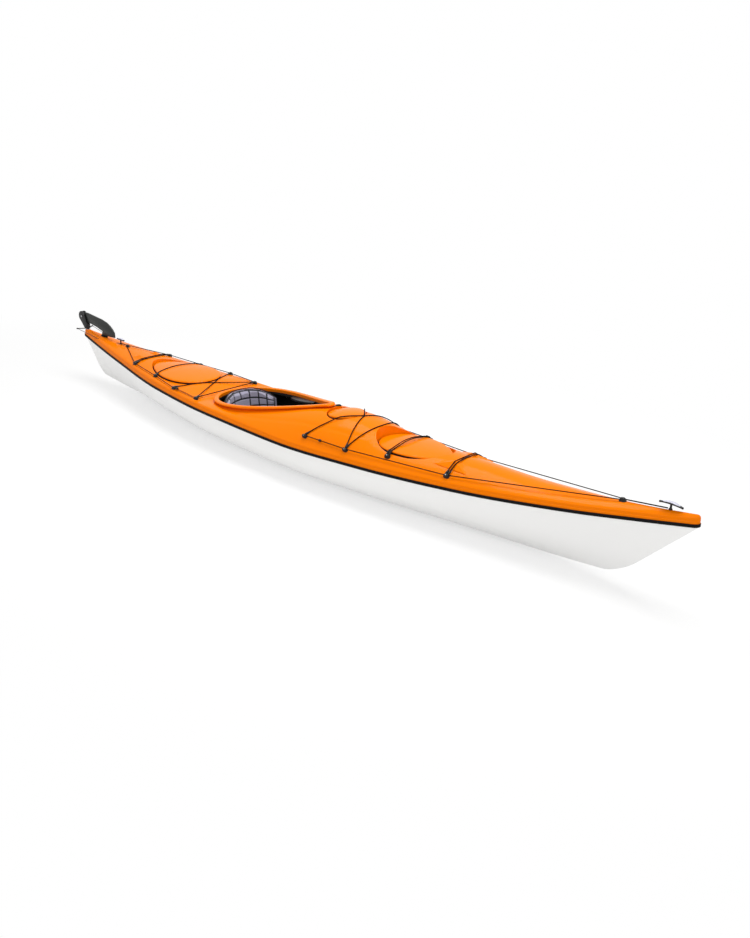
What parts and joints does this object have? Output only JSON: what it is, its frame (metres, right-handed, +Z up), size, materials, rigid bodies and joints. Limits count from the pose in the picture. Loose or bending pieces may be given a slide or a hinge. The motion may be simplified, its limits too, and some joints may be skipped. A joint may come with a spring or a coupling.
{
  "type": "sea kayak",
  "caption": "Sit-inside touring kayak with three hatches, deck lines, padded seat, foot braces and a flip-up rudder.",
  "frame": {"origin": "midship on the flat of the keel, halfway between the tips of the hull", "axes": "+X along the hull to the bow, +Y to port, +Z up"},
  "size_m": [4.7838, 0.5968, 0.4848],
  "materials": {
    "deck_plastic": "gloss",
    "hull_plastic": "gloss",
    "black_moulding": "satin",
    "black_rubber": "matte",
    "cord": "woven",
    "backrest_fabric": "quilted",
    "cushion_foam": "matte foam",
    "alloy": "anodised",
    "steel": "brushed",
    "bulkhead_panel": "matte"
  },
  "bodies": {
    "kayak": {"deck": "deck_plastic", "cockpit_coaming": "deck_plastic", "hull": "hull_plastic", "pod_tub": "black_moulding", "seat_pan": "black_moulding", "thigh_brace_port": "black_moulding", "thigh_brace_starboard": "black_moulding", "stern_centre_fitting": "black_moulding", "fore_1_fitting_port": "black_moulding", "fore_1_fitting_starboard": "black_moulding", "fore_2_fitting_port": "black_moulding", "fore_2_fitting_starboard": "black_moulding", "aft_1_fitting_port": "black_moulding", "aft_1_fitting_starboard": "black_moulding", "aft_2_fitting_port": "black_moulding", "aft_2_fitting_starboard": "black_moulding", "seam_trim": "black_rubber", "bow_hatch_rim": "black_rubber", "pod_hatch_rim": "black_rubber", "stern_hatch_rim": "black_rubber", "rudder_rest": "black_rubber", "fore_perimeter_line": "cord", "aft_perimeter_line": "cord", "fore_bungee": "cord", "aft_bungee": "cord", "bow_hatch_strap": "cord", "stern_hatch_strap": "cord", "bow_ridge_bungee": "cord", "stern_ridge_bungee": "cord", "bow_toggle_cord": "cord", "stern_toggle_cord": "cord", "rudder_lift_line": "cord", "seat_cushion": "cushion_foam", "foot_rail_port": "alloy", "foot_rail_starboard": "alloy", "rudder_gudgeon": "steel", "rudder_pin": "steel", "steering_cable_port": "steel", "steering_cable_starboard": "steel", "bow_bulkhead": "bulkhead_panel", "stern_bulkhead": "bulkhead_panel"},
    "backrest": {"backrest_shell": "black_moulding", "backrest_pad": "backrest_fabric"},
    "foot_pedal_port": {"foot_pedal_port": "black_moulding"},
    "foot_pedal_starboard": {"foot_pedal_starboard": "black_moulding"},
    "toe_pedal_port": {"toe_pedal_port": "black_moulding"},
    "toe_pedal_starboard": {"toe_pedal_starboard": "black_moulding"},
    "rudder_steering": {"rudder_yoke": "black_moulding", "rudder_head": "black_moulding", "rudder_pivot_bolt": "steel"},
    "rudder_blade": {"rudder_blade": "black_moulding"},
    "rudder_lift_knob": {"rudder_lift_knob": "black_moulding"},
    "line_bead": {"line_bead": "black_moulding"},
    "bow_toggle": {"bow_toggle": "black_moulding"},
    "stern_toggle": {"stern_toggle": "black_moulding"},
    "bow_hatch_lid": {"bow_hatch_lid": "deck_plastic"},
    "pod_hatch_lid": {"pod_hatch_lid": "deck_plastic"},
    "stern_hatch_lid": {"stern_hatch_lid": "deck_plastic"}
  },
  "joints": [
    {"name": "rudder_yaw", "type": "hinge", "parent": "kayak", "child": "rudder_steering", "pos_m": [-2.34, 0, 0.3593], "axis": [0, 0, 1], "range_deg": [-35, 35], "deforming": ["steering_cable_port", "steering_cable_starboard"]},
    {"name": "rudder_blade_lift", "type": "hinge", "parent": "rudder_steering", "child": "rudder_blade", "pos_m": [-2.384, 0, 0.44102], "axis": [0, -1, 0], "range_deg": [0, 250]},
    {"name": "backrest_fold", "type": "hinge", "parent": "kayak", "child": "backrest", "pos_m": [-0.636, 0, 0.116], "axis": [0, 1, 0], "range_deg": [0, 35]},
    {"name": "rudder_lift_knob_slide", "type": "slide", "parent": "kayak", "child": "rudder_lift_knob", "axis": [0.9985, -0.0399, -0.0385], "range_m": [0, 0.14], "deforming": ["rudder_lift_line"]},
    {"name": "line_bead_slide", "type": "slide", "parent": "kayak", "child": "line_bead", "axis": [0.9987, 0.0513, -0.0014], "range_m": [-0.085, 0.15]},
    {"name": "bow_toggle_turn", "type": "hinge", "parent": "kayak", "child": "bow_toggle", "pos_m": [2.221, 0, 0.4632], "axis": [0, 0, 1], "range_deg": [-90, 90]},
    {"name": "stern_toggle_turn", "type": "hinge", "parent": "kayak", "child": "stern_toggle", "pos_m": [-1.922, 0, 0.345], "axis": [0, 0, 1], "range_deg": [-90, 90]},
    {"name": "bow_hatch_lid_lift", "type": "slide", "parent": "kayak", "child": "bow_hatch_lid", "axis": [0, 0, 1], "range_m": [0, 0.1], "deforming": ["bow_hatch_strap"]},
    {"name": "pod_hatch_lid_lift", "type": "slide", "parent": "kayak", "child": "pod_hatch_lid", "axis": [0, 0, 1], "range_m": [0, 0.1], "deforming": ["fore_bungee"]},
    {"name": "stern_hatch_lid_lift", "type": "slide", "parent": "kayak", "child": "stern_hatch_lid", "axis": [0, 0, 1], "range_m": [0, 0.1], "deforming": ["stern_hatch_strap"]},
    {"name": "foot_pedal_slide_port", "type": "slide", "parent": "kayak", "child": "foot_pedal_port", "axis": [0.9965, -0.084, 0], "range_m": [-0.05, 0.2]},
    {"name": "toe_pedal_tilt_port", "type": "hinge", "parent": "foot_pedal_port", "child": "toe_pedal_port", "pos_m": [0.2587, 0.1892, 0.155], "axis": [0.084, 0.9965, 0], "range_deg": [-20, 20]},
    {"name": "foot_pedal_slide_starboard", "type": "slide", "parent": "kayak", "child": "foot_pedal_starboard", "axis": [0.9965, 0.084, 0], "range_m": [-0.05, 0.2]},
    {"name": "toe_pedal_tilt_starboard", "type": "hinge", "parent": "foot_pedal_starboard", "child": "toe_pedal_starboard", "pos_m": [0.2587, -0.1892, 0.155], "axis": [-0.084, 0.9965, 0], "range_deg": [-20, 20]}
  ],
  "couplings": [
    {"joint": "toe_pedal_tilt_port", "follows": "rudder_yaw", "ratio": -0.571},
    {"joint": "toe_pedal_tilt_starboard", "follows": "rudder_yaw", "ratio": 0.571},
    {"joint": "rudder_lift_knob_slide", "follows": "rudder_blade_lift", "m_per_rad": 0.03208}
  ]
}
